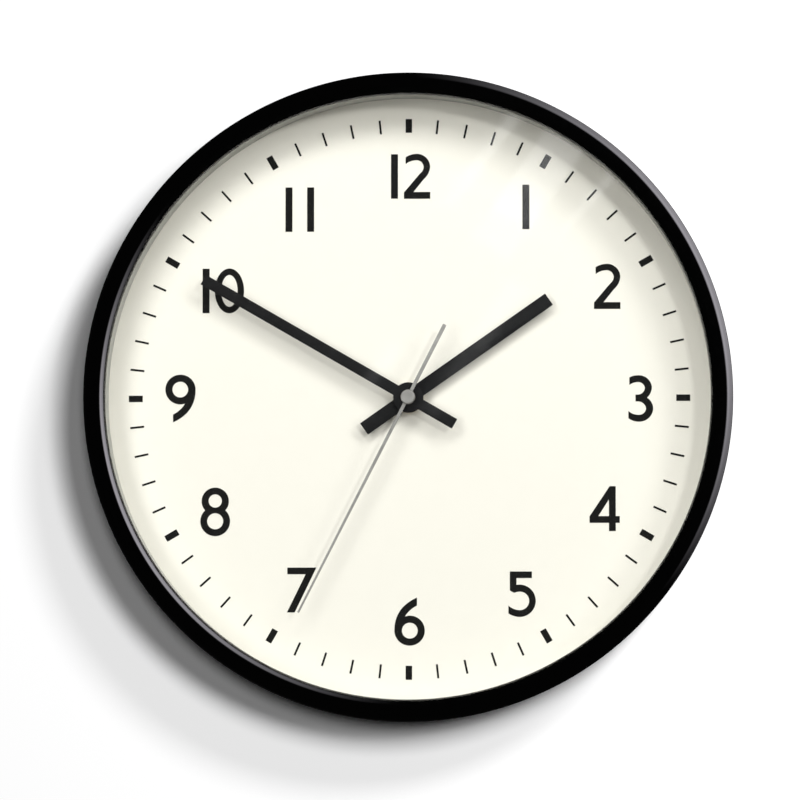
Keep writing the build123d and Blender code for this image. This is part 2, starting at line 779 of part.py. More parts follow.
def train_plate():
    """Bridge that carries the front pivots of the going train."""
    plate = block((-PLATE_X, PLATE_X), PLATE_Y, PLATE_Z)
    holes = [
        disc(PLATE_BORE_R, PLATE_Z),
        disc(PIVOT_R + RUN_GAP, PLATE_Z, THIRD_AT),
        disc(PIVOT_R + RUN_GAP, PLATE_Z, INTERMEDIATE_AT),
        disc(ROTOR_PIVOT_R + RUN_GAP, PLATE_Z, ROTOR_AT),
        disc(KNOB_SHAFT_R + RUN_GAP, PLATE_Z, KNOB_AT),
    ]
    return plate - holes


def movement_gasket():
    return ring(PAD_R, DIAL_HOLE_R, (BODY_Z[1], DIAL_BACK_Z))


def stem_bushing():
    """Brass stem: a flange inside the movement and a barrel through the dial."""
    flange = disc(STEM_FLANGE_R, (STEM_FLANGE_Z, FRONT_WALL_Z))
    barrel = disc(STEM_R, (FRONT_WALL_Z, STEM_FRONT_Z))
    return flange + barrel - disc(HOUR_TUBE_R + RUN_GAP, (STEM_FLANGE_Z, STEM_FRONT_Z))


def stem_washer():
    return ring(WASHER_R, DIAL_HOLE_R, WASHER_Z)


def stem_nut():
    low, high = WASHER_Z[1], NUT_FRONT_Z
    hexagon = RegularPolygon(NUT_FLATS / 2, 6, major_radius=False)
    return Pos(0, 0, low) * extrude(hexagon - Circle(STEM_R), high - low)


def coil_bobbin():
    flanges = [
        x_rod(FLANGE_R, (low, low + FLANGE_T), COIL_Y, COIL_Z)
        for low in (-COIL_HALF, COIL_HALF - FLANGE_T)
    ]
    tube = x_rod(BOBBIN_R, (-COIL_HALF, COIL_HALF), COIL_Y, COIL_Z)
    core_y = (COIL_Y - CORE_H / 2, COIL_Y + CORE_H / 2)
    return tube + flanges - block((-COIL_HALF, COIL_HALF), core_y, CORE_Z)


def coil_winding():
    span = (-COIL_HALF + FLANGE_T, COIL_HALF - FLANGE_T)
    return x_rod(WINDING_R, span, COIL_Y, COIL_Z) - x_rod(BOBBIN_R, span, COIL_Y, COIL_Z)


def coil_core():
    return block(CORE_X, (COIL_Y - CORE_H / 2, COIL_Y + CORE_H / 2), CORE_Z)


def stator():
    """Lamination that carries the field from the coil's core to the rotor."""
    top = COIL_Y + CORE_H / 2
    bridge_y = (STATOR_BRIDGE_Y, STATOR_BRIDGE_Y + STATOR_ARM)
    left = block((CORE_X[0], CORE_X[0] + STATOR_ARM), (ROTOR_AT[1], top), STATOR_Z)
    right = block((CORE_X[1] - STATOR_ARM, CORE_X[1]), (STATOR_BRIDGE_Y, top), STATOR_Z)
    bridge = block((ROTOR_AT[0], CORE_X[1]), bridge_y, STATOR_Z)
    eye = disc(STATOR_EYE_R, STATOR_Z, ROTOR_AT)
    return eye + left + right + bridge - disc(MAGNET_R + MAGNET_GAP, STATOR_Z, ROTOR_AT)


def circuit_board():
    return block(BOARD_X, BOARD_Y, BOARD_Z)


def quartz_crystal():
    return x_rod(CRYSTAL_R, CRYSTAL_X, CRYSTAL_Y, BOARD_Z[0] - CRYSTAL_R)


def control_chip():
    return disc(CHIP_R, (BOARD_Z[0] - CHIP_H, BOARD_Z[0]), CHIP_AT)


CONTACT_X = (26.3, 26.7)        # a contact leaf against the end wall of the battery bay
LEAF_Y = (-24.0, -14.0)
LEAF_Z = (6.0, 16.0)
STRIP_Z = (9.6, 11.6)
TAB_Y = (5.5, 7.5)
TAB_Z = (10.0, 10.4)
POSITIVE_TAB_X = 23.5
NEGATIVE_TAB_X = 19.5
RISER_X = (21.65, 22.0)
RUN_Y = (DIVIDER_Y[1] + 0.1, DIVIDER_Y[1] + 0.45)
BUTTON_R = 2.0
SPRING_R = 3.0
CELL_END_X = CELL_LENGTH / 2 + CELL_NUB / 2
TOUCH_X = CELL_END_X + SNUG_GAP     # where a contact all but meets the cell


def contact_positive():
    """Leaf at the nub end, with a strip up to the board."""
    leaf = block(CONTACT_X, LEAF_Y, LEAF_Z)
    strip = block(CONTACT_X, (LEAF_Y[1], TAB_Y[1]), STRIP_Z)
    tab = block((POSITIVE_TAB_X, CONTACT_X[1]), TAB_Y, TAB_Z)
    button = x_rod(BUTTON_R, (TOUCH_X, CONTACT_X[0]), CELL_Y, CELL_Z)
    return leaf + strip + tab + button


def contact_negative():
    """Leaf at the flat end, with a strip along the divider and across to the board."""
    leaf_x = (-CONTACT_X[1], -CONTACT_X[0])
    leaf = block(leaf_x, LEAF_Y, LEAF_Z)
    strip = block(leaf_x, (LEAF_Y[1], RUN_Y[1]), STRIP_Z)
    run = block((leaf_x[0], RISER_X[1]), RUN_Y, STRIP_Z)
    riser = block(RISER_X, (RUN_Y[0], TAB_Y[1]), (TAB_Z[0], STRIP_Z[1]))
    tab = block((NEGATIVE_TAB_X, RISER_X[1]), TAB_Y, TAB_Z)
    spring = x_rod(SPRING_R, (leaf_x[1], -TOUCH_X), CELL_Y, CELL_Z)
    return leaf + strip + run + riser + tab + spring


# ---- movement: going train -----------------------------------------------------------------
def lightening_holes(count, circle_r, hole_r, z_range):
    return around(count, 0.0, lambda degrees: disc(hole_r, z_range, polar(circle_r, degrees)))


def rotor_pinion():
    arbor = disc(ROTOR_PIVOT_R, ARBOR_Z)
    hub = disc(ROTOR_HUB_R, (LEVEL_A[0] - ROTOR_HUB_STEP, MAGNET_Z[1]))
    pinion = gear(ROTOR_PINION, True, LEVEL_A, ROTOR_PHASE)
    return Pos(*ROTOR_AT) * (arbor + hub + pinion)


def rotor_magnet():
    return ring(MAGNET_R, ROTOR_HUB_R, MAGNET_Z, ROTOR_AT)


def intermediate_wheel():
    wheel = gear(INTERMEDIATE_WHEEL, False, LEVEL_A)
    pinion = gear(INTERMEDIATE_PINION, True, LEVEL_B, INTERMEDIATE_PHASE)
    hub = disc(INTERMEDIATE_HUB_R, (LEVEL_A[0], LEVEL_B[1]))
    holes = lightening_holes(*INTERMEDIATE_HOLES, LEVEL_A)
    return Pos(*INTERMEDIATE_AT) * (wheel + pinion + hub + disc(PIVOT_R, ARBOR_Z) - holes)


def seconds_wheel():
    wheel = gear(SECONDS_WHEEL, False, LEVEL_B)
    pinion = gear(SECONDS_PINION, True, LEVEL_C)
    hub = disc(SECONDS_HUB_R, (LEVEL_B[0], LEVEL_C[1]))
    bore = disc(SECONDS_ARBOR_R, (LEVEL_B[0], LEVEL_C[1]))
    return wheel + pinion + hub - bore - lightening_holes(*SECONDS_HOLES, LEVEL_B)


def seconds_arbor():
    return disc(SECONDS_ARBOR_R, SECONDS_ARBOR_Z)


def third_wheel():
    wheel = gear(THIRD_WHEEL, False, LEVEL_C, THIRD_PHASE)
    pinion = gear(THIRD_PINION, True, LEVEL_D)
    hub = disc(THIRD_HUB_R, (LEVEL_C[0] - THIRD_HUB_STEP, LEVEL_D[1]))
    holes = lightening_holes(*THIRD_HOLES, LEVEL_C)
    return Pos(*THIRD_AT) * (wheel + pinion + hub + disc(PIVOT_R, ARBOR_Z) - holes)


def centre_wheel():
    """Wheel that carries the minute tube round through the friction clutch."""
    wheel = gear(CENTRE_WHEEL, False, LEVEL_D, CENTRE_PHASE, MINUTE_TUBE_REAR_R + SNUG_GAP)
    return wheel - lightening_holes(*CENTRE_HOLES, LEVEL_D)


# ---- movement: motion work -----------------------------------------------------------------
def minute_tube():
    """Cannon pinion on the tube that carries the minute hand."""
    collar = disc(MINUTE_COLLAR_R, (MINUTE_TUBE_Z[0], LEVEL_D[0] - SNUG_GAP))
    rear = disc(MINUTE_TUBE_REAR_R, (MINUTE_TUBE_Z[0], LEVEL_E[0]))
    front = disc(MINUTE_TUBE_R, (LEVEL_E[0], MINUTE_TUBE_Z[1]))
    pinion = gear(CANNON_PINION, True, LEVEL_E)
    return collar + rear + front + pinion - disc(SECONDS_ARBOR_R + RUN_GAP, MINUTE_TUBE_Z)


def clutch_spring():
    """Coned washer that presses the centre wheel against the minute tube's collar."""
    inner = MINUTE_TUBE_REAR_R + SNUG_GAP
    low = LEVEL_D[1] + SNUG_GAP
    high = LEVEL_E[0] - SNUG_GAP
    profile = face_along(
        (inner, high - CLUTCH_LAND),
        [
            (CLUTCH_OUT_R - CLUTCH_LAND, low),
            (CLUTCH_OUT_R, low),
            (CLUTCH_OUT_R, low + CLUTCH_RIM_T),
            (inner + CLUTCH_T, high),
            (inner, high),
        ],
    )
    return revolve(Plane.XZ * profile, Axis.Z)


def motion_wheel():
    wheel = gear(MOTION_WHEEL, False, LEVEL_E, MOTION_PHASE)
    pinion = gear(MOTION_PINION, True, LEVEL_F)
    hub = disc(MOTION_HUB_R, (LEVEL_E[0], LEVEL_F[1]))
    bore = disc(STUD_R + RUN_GAP, (LEVEL_E[0], LEVEL_F[1]))
    holes = lightening_holes(*MOTION_HOLES, LEVEL_E)
    return Pos(*MOTION_AT) * (wheel + pinion + hub - bore - holes)


def hour_wheel():
    """Hour wheel and the tube that carries the hour hand."""
    wheel = gear(HOUR_WHEEL, False, LEVEL_F, HOUR_PHASE)
    tube_z = (LEVEL_F[0], HOUR_TUBE_FRONT_Z)
    return wheel + disc(HOUR_TUBE_R, tube_z) - disc(MINUTE_TUBE_R + RUN_GAP, tube_z)


def setting_knob():
    """Finger knob behind the movement, its shaft and the pinion that turns the motion wheel."""
    grips = around(KNOB_GRIPS, 0.0, lambda degrees: disc(GRIP_R, KNOB_Z, polar(KNOB_R, degrees)))
    knob = disc(KNOB_R, KNOB_Z) - grips
    shaft = disc(KNOB_SHAFT_R, (KNOB_Z[1], KNOB_SHAFT_FRONT_Z))
    pinion = gear(KNOB_PINION, True, LEVEL_E, KNOB_PHASE)
    return Pos(*KNOB_AT) * (knob + shaft + pinion)


# ---- battery -------------------------------------------------------------------------------
def battery_can():
    low = -CELL_END_X
    can = x_rod(CELL_R, (low, low + CELL_LENGTH), CELL_Y, CELL_Z)
    return fillet(can.edges().filter_by(GeomType.CIRCLE), CELL_EDGE)


def battery_nub():
    return x_rod(CELL_NUB_R, (CELL_END_X - CELL_NUB, CELL_END_X), CELL_Y, CELL_Z)


# ---- hands ---------------------------------------------------------------------------------
def clockwise(degrees, shape):
    """Turn a hand drawn pointing at twelve to its place."""
    return Rot(0, 0, -degrees) * shape


def baton(width, length, tail, z_range, bore):
    """A square-ended hand on a round hub, pointing up."""
    blade = Pos(0, (length - tail) / 2) * Rectangle(width, length + tail)
    outline = blade + Circle(HUB_R) - Circle(bore)
    return Pos(0, 0, z_range[0]) * extrude(outline, z_range[1] - z_range[0])


def hour_hand():
    hand = baton(HOUR_W, HOUR_LENGTH, HOUR_TAIL, HOUR_HAND_Z, HOUR_TUBE_R)
    return clockwise(HOUR_ANGLE, hand)


def hour_hand_collar():
    return ring(COLLAR_R, HOUR_TUBE_R, (COLLAR_BACK_Z, HOUR_HAND_Z[0]))


def minute_hand():
    hand = baton(MINUTE_W, MINUTE_LENGTH, MINUTE_TAIL, MINUTE_HAND_Z, MINUTE_TUBE_R)
    return clockwise(MINUTE_ANGLE, hand)


def minute_hand_nut():
    return ring(HAND_NUT_R, MINUTE_TUBE_R, (MINUTE_HAND_Z[1], HAND_NUT_FRONT_Z))


def second_hand():
    """A slim blade that tapers from its tail to its tip."""
    tip = SECOND_TIP_W / 2
    tail = SECOND_TAIL_W / 2
    blade = face_along(
        (-tail, -SECOND_TAIL),
        [(tail, -SECOND_TAIL), (tip, SECOND_LENGTH), (-tip, SECOND_LENGTH)],
    )
    outline = blade + Circle(SECOND_HUB_R) - Circle(BOSS_NECK_R)
    thickness = SECOND_HAND_Z[1] - SECOND_HAND_Z[0]
    return clockwise(SECOND_ANGLE, Pos(0, 0, SECOND_HAND_Z[0]) * extrude(outline, thickness))


def second_hand_boss():
    """Turned cap that rivets the second hand and presses on its arbor."""
    cap = disc(BOSS_R, (SECOND_HAND_Z[1], BOSS_Z[1]))
    cap = fillet(cap.edges().sort_by(Axis.Z)[-1], BOSS_EDGE)
    neck = disc(BOSS_NECK_R, (BOSS_Z[0], SECOND_HAND_Z[1]))
    return cap + neck - disc(SECONDS_ARBOR_R, (BOSS_Z[0], SECONDS_ARBOR_Z[1]))


PIECES = [
    case_ring, lens, lens_gasket, spacer_ring, dial_plate, hour_numerals, hour_marks, minute_marks,
    rear_cover, rear_cover_screws, hanger_plate, hanger_screws,
    movement_housing, movement_cover, movement_gasket, train_plate,
    stem_bushing, stem_washer, stem_nut,
    coil_bobbin, coil_winding, coil_core, stator, circuit_board, quartz_crystal, control_chip,
    contact_positive, contact_negative, rotor_pinion, rotor_magnet,
    intermediate_wheel, third_wheel, seconds_wheel, seconds_arbor, centre_wheel,
    minute_tube, clutch_spring, motion_wheel, hour_wheel, setting_knob,
    battery_can, battery_nub,
    hour_hand, hour_hand_collar, minute_hand, minute_hand_nut, second_hand, second_hand_boss,
]

os.makedirs("parts", exist_ok=True)
for piece in PIECES:
    export_step(upright(piece()), f"parts/{piece.__name__}.step")
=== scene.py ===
import json
import math

import bmesh
import bpy
from mathutils import Matrix, Vector


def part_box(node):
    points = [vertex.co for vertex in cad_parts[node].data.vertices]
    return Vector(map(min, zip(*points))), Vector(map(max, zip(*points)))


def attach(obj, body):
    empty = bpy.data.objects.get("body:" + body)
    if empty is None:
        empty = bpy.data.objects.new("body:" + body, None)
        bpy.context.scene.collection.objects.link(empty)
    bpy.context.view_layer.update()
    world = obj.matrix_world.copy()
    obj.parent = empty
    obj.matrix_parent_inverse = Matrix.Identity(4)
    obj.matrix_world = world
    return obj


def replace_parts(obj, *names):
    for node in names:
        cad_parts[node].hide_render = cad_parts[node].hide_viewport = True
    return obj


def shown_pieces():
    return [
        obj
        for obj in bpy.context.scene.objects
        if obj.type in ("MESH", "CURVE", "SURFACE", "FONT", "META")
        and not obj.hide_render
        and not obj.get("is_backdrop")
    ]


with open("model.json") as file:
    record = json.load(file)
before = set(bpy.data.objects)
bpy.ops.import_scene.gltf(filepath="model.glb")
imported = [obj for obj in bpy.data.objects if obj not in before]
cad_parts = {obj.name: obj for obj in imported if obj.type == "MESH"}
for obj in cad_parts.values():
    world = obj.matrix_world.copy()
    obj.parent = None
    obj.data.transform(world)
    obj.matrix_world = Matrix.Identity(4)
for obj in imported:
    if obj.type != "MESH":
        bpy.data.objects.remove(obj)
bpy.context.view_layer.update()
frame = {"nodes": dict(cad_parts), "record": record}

# Shapes are drawn in the dial frame, in millimetres: x right, y up the dial, z out of the wall.
# place() takes a point to the row frame, in metres: the dial's y is Z and its z is -Y.
MM = 0.001
TURNS = 720             # steps in a turned piece
ARC_STEPS = 12          # steps in a rounded corner
HOLD = 0.04             # how far beside a rounding a straight run is pinned flat


def place(x, y, z):
    return Vector((x, -z, y)) * MM


def span(node):
    """A node's reach in the dial frame: widest radius, rear z and front z, in millimetres."""
    low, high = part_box(node)
    return max(high.x, high.z, -low.x, -low.z) / MM, -high.y / MM, -low.y / MM


CASE_R, CASE_REAR, CASE_FRONT = span("case_ring")
LENS_R, LENS_REAR, LENS_FRONT = span("lens")
GASKET_R, GASKET_REAR, GASKET_FRONT = span("lens_gasket")
SPACER_R, SPACER_REAR, SPACER_FRONT = span("spacer_ring")

# ---- mesh making ---------------------------------------------------------------------------


def corner_arc(before, corner, after, radius):
    """Points that round off a corner between two straight runs."""
    corner, before, after = Vector(corner), Vector(before), Vector(after)
    into = (before - corner).normalized()
    out = (after - corner).normalized()
    half = into.angle(out) / 2
    reach = radius / math.tan(half)
    centre = corner + (into + out).normalized() * (radius / math.sin(half))
    start = corner + into * reach - centre
    turn = math.pi - 2 * half
    if into.x * out.y - into.y * out.x > 0:
        turn = -turn
    points = []
    for step in range(ARC_STEPS + 1):
        part = turn * step / ARC_STEPS
        c, s = math.cos(part), math.sin(part)
        points.append((centre.x + start.x * c - start.y * s, centre.y + start.x * s + start.y * c))
    return points


def softened_outline(corners):
    """A closed outline from (x, y, rounding) corners."""
    points = []
    for index, (x, y, rounding) in enumerate(corners):
        if rounding == 0:
            points.append((x, y))
            continue
        before = corners[index - 1][:2]
        after = corners[(index + 1) % len(corners)][:2]
        arc_points = corner_arc(before, (x, y), after, rounding)
        if rounding > 1.0:
            first = Vector(arc_points[0])
            last = Vector(arc_points[-1])
            points.append(tuple(first + (Vector(before) - first).normalized() * HOLD))
            points += arc_points
            points.append(tuple(last + (Vector(after) - last).normalized() * HOLD))
        else:
            points += arc_points
    return points


def finish_mesh(name, mesh, body, slot, sharp=40.0):
    """A bmesh made into a smooth-shaded piece that rides on a body."""
    bmesh.ops.recalc_face_normals(mesh, faces=mesh.faces)
    for face in mesh.faces:
        face.smooth = True
    for edge in mesh.edges:
        if len(edge.link_faces) == 2 and edge.calc_face_angle(0.0) > math.radians(sharp):
            edge.smooth = False
    data = bpy.data.meshes.new(name)
    mesh.to_mesh(data)
    mesh.free()
    piece = bpy.data.objects.new(name, data)
    bpy.context.scene.collection.objects.link(piece)
    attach(piece, body)
    piece.data.materials.append(MATERIALS[slot])
    return piece


def turned(mesh, outline, at=(0.0, 0.0), turns=TURNS):
    """A closed (radius, z) outline turned about an axis out of the wall."""
    rings = []
    for turn in range(turns):
        angle = 2 * math.pi * turn / turns
        c, s = math.cos(angle), math.sin(angle)
        rings.append([mesh.verts.new(place(at[0] + r * c, at[1] + r * s, z)) for r, z in outline])
    for turn in range(turns):
        here, there = rings[turn], rings[(turn + 1) % turns]
        for step in range(len(outline)):
            onward = (step + 1) % len(outline)
            mesh.faces.new((here[step], here[onward], there[onward], there[step]))


def solid_turned(mesh, outline, at=(0.0, 0.0), turns=TURNS):
    """An open (radius, z) outline that starts and ends on the axis, turned into a solid."""
    rings = []
    for turn in range(turns):
        angle = 2 * math.pi * turn / turns
        c, s = math.cos(angle), math.sin(angle)
        rings.append([
            mesh.verts.new(place(at[0] + r * c, at[1] + r * s, z)) for r, z in outline[1:-1]
        ])
    first = mesh.verts.new(place(at[0], at[1], outline[0][1]))
    last = mesh.verts.new(place(at[0], at[1], outline[-1][1]))
    for turn in range(turns):
        here, there = rings[turn], rings[(turn + 1) % turns]
        mesh.faces.new((first, here[0], there[0]))
        for step in range(len(here) - 1):
            mesh.faces.new((here[step], here[step + 1], there[step + 1], there[step]))
        mesh.faces.new((here[-1], last, there[-1]))


def plate(name, loops, rear, front, bevel, body, slot):
    """A flat stamping: outlines of (x, y) points given a thickness and a broken edge."""
    curve = bpy.data.curves.new(name, "CURVE")
    curve.dimensions = "2D"
    curve.fill_mode = "BOTH"
    curve.extrude = (front - rear) / 2 - bevel
    curve.bevel_depth = bevel
    curve.bevel_resolution = 3
    curve.offset = -bevel
    for loop in loops:
        spline = curve.splines.new("POLY")
        spline.points.add(len(loop) - 1)
        for point, (x, y) in zip(spline.points, loop):
            point.co = (x, y, 0.0, 1.0)
        spline.use_cyclic_u = True
    shape = bpy.data.objects.new(name + "_outline", curve)
    data = bpy.data.meshes.new_from_object(shape)
    bpy.data.objects.remove(shape)
    mesh = bmesh.new()
    mesh.from_mesh(data)
    bpy.data.meshes.remove(data)
    bmesh.ops.remove_doubles(mesh, verts=mesh.verts, dist=1e-4)
    middle = (rear + front) / 2
    for vertex in mesh.verts:
        vertex.co = place(vertex.co.x, vertex.co.y, vertex.co.z + middle)
    return finish_mesh(name, mesh, body, slot, 30.0)


# ---- materials -----------------------------------------------------------------------------


class Graph:
    """A material's node tree, with short names for what every surface here needs."""

    def __init__(self, name):
        self.material = bpy.data.materials.new(name)
        self.material.use_nodes = True
        self.tree = self.material.node_tree
        self.shader = self.tree.nodes["Principled BSDF"]
        self.output = self.tree.nodes["Material Output"]
        self.place = self.node("ShaderNodeTexCoord").outputs["Object"]

    def node(self, kind, **settings):
        made = self.tree.nodes.new(kind)
        for key, value in settings.items():
            setattr(made, key, value)
        return made

    def link(self, source, target):
        self.tree.links.new(source, target)

    def noise(self, size, detail=3.0, stretch=(1.0, 1.0, 1.0)):
        """Noise whose features are about size metres across."""
        source = self.place
        if stretch != (1.0, 1.0, 1.0):
            mapping = self.node("ShaderNodeMapping")
            mapping.inputs["Scale"].default_value = stretch
            self.link(source, mapping.inputs["Vector"])
            source = mapping.outputs["Vector"]
        noise = self.node("ShaderNodeTexNoise")
        noise.inputs["Scale"].default_value = 1.0 / size
        noise.inputs["Detail"].default_value = detail
        self.link(source, noise.inputs["Vector"])
        return noise.outputs["Fac"]

    def spread(self, source, low, high):
        """A value that runs from low to high as the noise does."""
        scale = self.node("ShaderNodeMapRange")
        scale.inputs["From Min"].default_value = 0.3
        scale.inputs["From Max"].default_value = 0.7
        scale.inputs["To Min"].default_value = low
        scale.inputs["To Max"].default_value = high
        self.link(source, scale.inputs["Value"])
        return scale.outputs["Result"]

    def tint(self, source, dark, light):
        """Wanders between two colours as the noise does."""
        ramp = self.node("ShaderNodeValToRGB")
        ramp.color_ramp.elements[0].position = 0.3
        ramp.color_ramp.elements[0].color = (*dark, 1.0)
        ramp.color_ramp.elements[1].position = 0.7
        ramp.color_ramp.elements[1].color = (*light, 1.0)
        self.link(source, ramp.inputs["Fac"])
        self.link(ramp.outputs["Color"], self.shader.inputs["Base Color"])

    def relief(self, source, height):
        """Bumps of a height in metres."""
        bump = self.node("ShaderNodeBump")
        bump.inputs["Strength"].default_value = 1.0
        bump.inputs["Distance"].default_value = height
        self.link(source, bump.inputs["Height"])
        self.link(bump.outputs["Normal"], self.shader.inputs["Normal"])

    def roughness(self, source, low, high):
        self.link(self.spread(source, low, high), self.shader.inputs["Roughness"])


def surface(name, dark, light, rough, grain, relief, metallic=0.0, stretch=(1.0, 1.0, 1.0), **more):
    """A surface whose colour, gloss and relief wander with its own grain."""
    graph = Graph(name)
    fine = graph.noise(grain, 4.0, stretch)
    broad = graph.noise(grain * 14, 2.0)
    graph.tint(broad, dark, light)
    graph.roughness(fine, *rough)
    graph.relief(fine, relief)
    graph.shader.inputs["Metallic"].default_value = metallic
    for key, value in more.items():
        graph.shader.inputs[key.replace("_", " ")].default_value = value
    return graph.material


def clear_glass():
    """Polished glass that lets the studio's lamps and the dial's own bounce light straight through."""
    graph = Graph("clear_glass")
    shader = graph.shader
    shader.inputs["Base Color"].default_value = (0.985, 1.0, 0.992, 1.0)
    shader.inputs["Transmission Weight"].default_value = 1.0
    shader.inputs["IOR"].default_value = 1.5
    graph.roughness(graph.noise(0.03, 2.0), 0.022, 0.034)
    paths = graph.node("ShaderNodeLightPath")
    clear = graph.node("ShaderNodeBsdfTransparent")
    bounce = graph.node("ShaderNodeMixShader")
    shadow = graph.node("ShaderNodeMixShader")
    graph.link(paths.outputs["Is Diffuse Ray"], bounce.inputs[0])
    graph.link(shader.outputs[0], bounce.inputs[1])
    graph.link(clear.outputs[0], bounce.inputs[2])
    graph.link(paths.outputs["Is Shadow Ray"], shadow.inputs[0])
    graph.link(bounce.outputs[0], shadow.inputs[1])
    graph.link(clear.outputs[0], shadow.inputs[2])
    graph.link(shadow.outputs[0], graph.output.inputs["Surface"])
    return graph.material


def wound_wire():
    """Enamelled copper wire wound in level layers along x."""
    graph = Graph("copper_wire")
    wave = graph.node("ShaderNodeTexWave", wave_type="BANDS", bands_direction="X")
    wave.inputs["Scale"].default_value = 2500.0
    wave.inputs["Distortion"].default_value = 0.4
    graph.link(graph.place, wave.inputs["Vector"])
    graph.tint(wave.outputs["Fac"], (0.22, 0.06, 0.02), (0.62, 0.25, 0.11))
    graph.roughness(graph.noise(0.0006), 0.22, 0.38)
    graph.relief(wave.outputs["Fac"], 0.00006)
    graph.shader.inputs["Metallic"].default_value = 0.9
    return graph.material


MATERIALS = {
    "case_black": surface("case_black", (0.0042, 0.0041, 0.0046), (0.0060, 0.0058, 0.0064),
                          (0.05, 0.09), 0.0025, 0.0000010),
    "glass": clear_glass(),
    "black_rubber": surface("black_rubber", (0.018, 0.018, 0.018), (0.034, 0.033, 0.032),
                            (0.62, 0.8), 0.0006, 0.00001),
    # The spacer is white plastic, greyed here to about 0.4: painted shade that matches the shaded rim
    # inside the bezel and holds back its bounce light onto the dial.
    "spacer_white": surface("spacer_white", (0.40, 0.40, 0.375), (0.46, 0.46, 0.43),
                            (0.42, 0.55), 0.0008, 0.000006),
    "dial_cream": surface("dial_cream", (0.935, 0.902, 0.805), (0.95, 0.917, 0.82),
                          (0.52, 0.66), 0.0004, 0.0000015, Specular_IOR_Level=0.3),
    "ink_black": surface("ink_black", (0.0062, 0.0062, 0.0056), (0.0088, 0.0088, 0.0080),
                         (0.42, 0.56), 0.0004, 0.000002, Specular_IOR_Level=0.06),
    "cover_black": surface("cover_black", (0.021, 0.021, 0.023), (0.028, 0.028, 0.030),
                           (0.5, 0.66), 0.0007, 0.00003),
    "zinc_steel": surface("zinc_steel", (0.5, 0.5, 0.47), (0.66, 0.66, 0.66),
                          (0.26, 0.42), 0.0005, 0.000004, 1.0),
    "movement_black": surface("movement_black", (0.016, 0.016, 0.018), (0.026, 0.026, 0.028),
                              (0.45, 0.6), 0.0005, 0.000022),
    "white_nylon": surface("white_nylon", (0.74, 0.74, 0.7), (0.84, 0.84, 0.8),
                           (0.36, 0.5), 0.0006, 0.000008, Subsurface_Weight=0.1,
                           Subsurface_Scale=0.0015),
    "brass": surface("brass", (0.6, 0.43, 0.18), (0.8, 0.62, 0.31), (0.2, 0.36), 0.0004,
                     0.000003, 1.0),
    "steel": surface("steel", (0.52, 0.52, 0.52), (0.66, 0.66, 0.66), (0.16, 0.3), 0.0003,
                     0.000002, 1.0),
    "silicon_steel": surface("silicon_steel", (0.3, 0.31, 0.33), (0.46, 0.47, 0.49),
                             (0.35, 0.5), 0.0005, 0.000004, 1.0),
    "magnet_grey": surface("magnet_grey", (0.07, 0.07, 0.075), (0.13, 0.13, 0.14),
                           (0.55, 0.75), 0.0004, 0.00001),
    "copper_wire": wound_wire(),
    "board_brown": surface("board_brown", (0.24, 0.14, 0.06), (0.36, 0.23, 0.11),
                           (0.5, 0.64), 0.0007, 0.00001),
    "chip_black": surface("chip_black", (0.01, 0.01, 0.01), (0.018, 0.018, 0.018),
                          (0.3, 0.42), 0.0008, 0.00001),
    "contact_nickel": surface("contact_nickel", (0.56, 0.55, 0.51), (0.7, 0.69, 0.66),
                              (0.22, 0.36), 0.0005, 0.000003, 1.0),
    "cell_grey": surface("cell_grey", (0.16, 0.17, 0.18), (0.22, 0.23, 0.24),
                         (0.3, 0.42), 0.0012, 0.000004, 0.6),
    "hand_black": surface("hand_black", (0.0062, 0.0062, 0.0066), (0.0098, 0.0098, 0.0103),
                          (0.38, 0.5), 0.0004, 0.000004, Specular_IOR_Level=0.1),
    "hand_silver": surface("hand_silver", (0.25, 0.244, 0.232), (0.33, 0.324, 0.308),
                           (0.4, 0.52), 0.0004, 0.000003, 1.0),
}

SLOT_OF = {row["node"]: row["material_slot"] for row in frame["record"]["subparts"]}
for node, piece in frame["nodes"].items():
    piece.data.materials.clear()
    piece.data.materials.append(MATERIALS[SLOT_OF[node]])

# ---- the case moulding ----------------------------------------------------------------------
CASE_WALL = 2.8
WALL_IN_R = CASE_R - CASE_WALL
LIP_R = 139.7           # clear opening in front of the glass
LIP_GAP = 0.5           # from the glass to the lip, where the gasket lies
LIP_BACK_Z = LENS_FRONT + LIP_GAP
SEAT_R = 143.7          # bore that centres the glass and the spacer
SEAT_BACK_Z = 36.0
OUTER_ROUND = 3.2
INNER_ROUND = 3.4
BROKEN_EDGE = 0.25
REAR_INNER_EDGE = 0.3
REAR_OUTER_EDGE = 0.6
STEP_EDGE = 0.4
RIBS = 12
RIB_START = 15.0        # angle of the first rib
RIB_MID_R = 145.6
RIB_DEPTH = 3.9
RIB_THICK = 1.6
RIB_MID_Z = 28.5
RIB_LENGTH = 15.8


def case_ring():
    mesh = bmesh.new()
    turned(mesh, softened_outline([
        (WALL_IN_R, CASE_REAR, REAR_INNER_EDGE),
        (CASE_R, CASE_REAR, REAR_OUTER_EDGE),
        (CASE_R, CASE_FRONT, OUTER_ROUND),
        (LIP_R, CASE_FRONT, INNER_ROUND),
        (LIP_R, LIP_BACK_Z, BROKEN_EDGE),
        (SEAT_R, LIP_BACK_Z, 0.0),
        (SEAT_R, SEAT_BACK_Z, BROKEN_EDGE),
        (WALL_IN_R, SEAT_BACK_Z, STEP_EDGE),
    ]))
    for rib in range(RIBS):
        turn = Matrix.Rotation(math.radians(RIB_START + 360.0 / RIBS * rib), 4, "Y")
        made = bmesh.ops.create_cube(mesh, size=1.0)["verts"]
        for vertex in made:
            x, y, z = vertex.co
            rib_at = place(RIB_MID_R + RIB_DEPTH * x, RIB_THICK * y, RIB_MID_Z + RIB_LENGTH * z)
            vertex.co = turn @ rib_at
    return mesh


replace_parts(finish_mesh("bezel_moulding", case_ring(), "case", "case_black"), "case_ring")

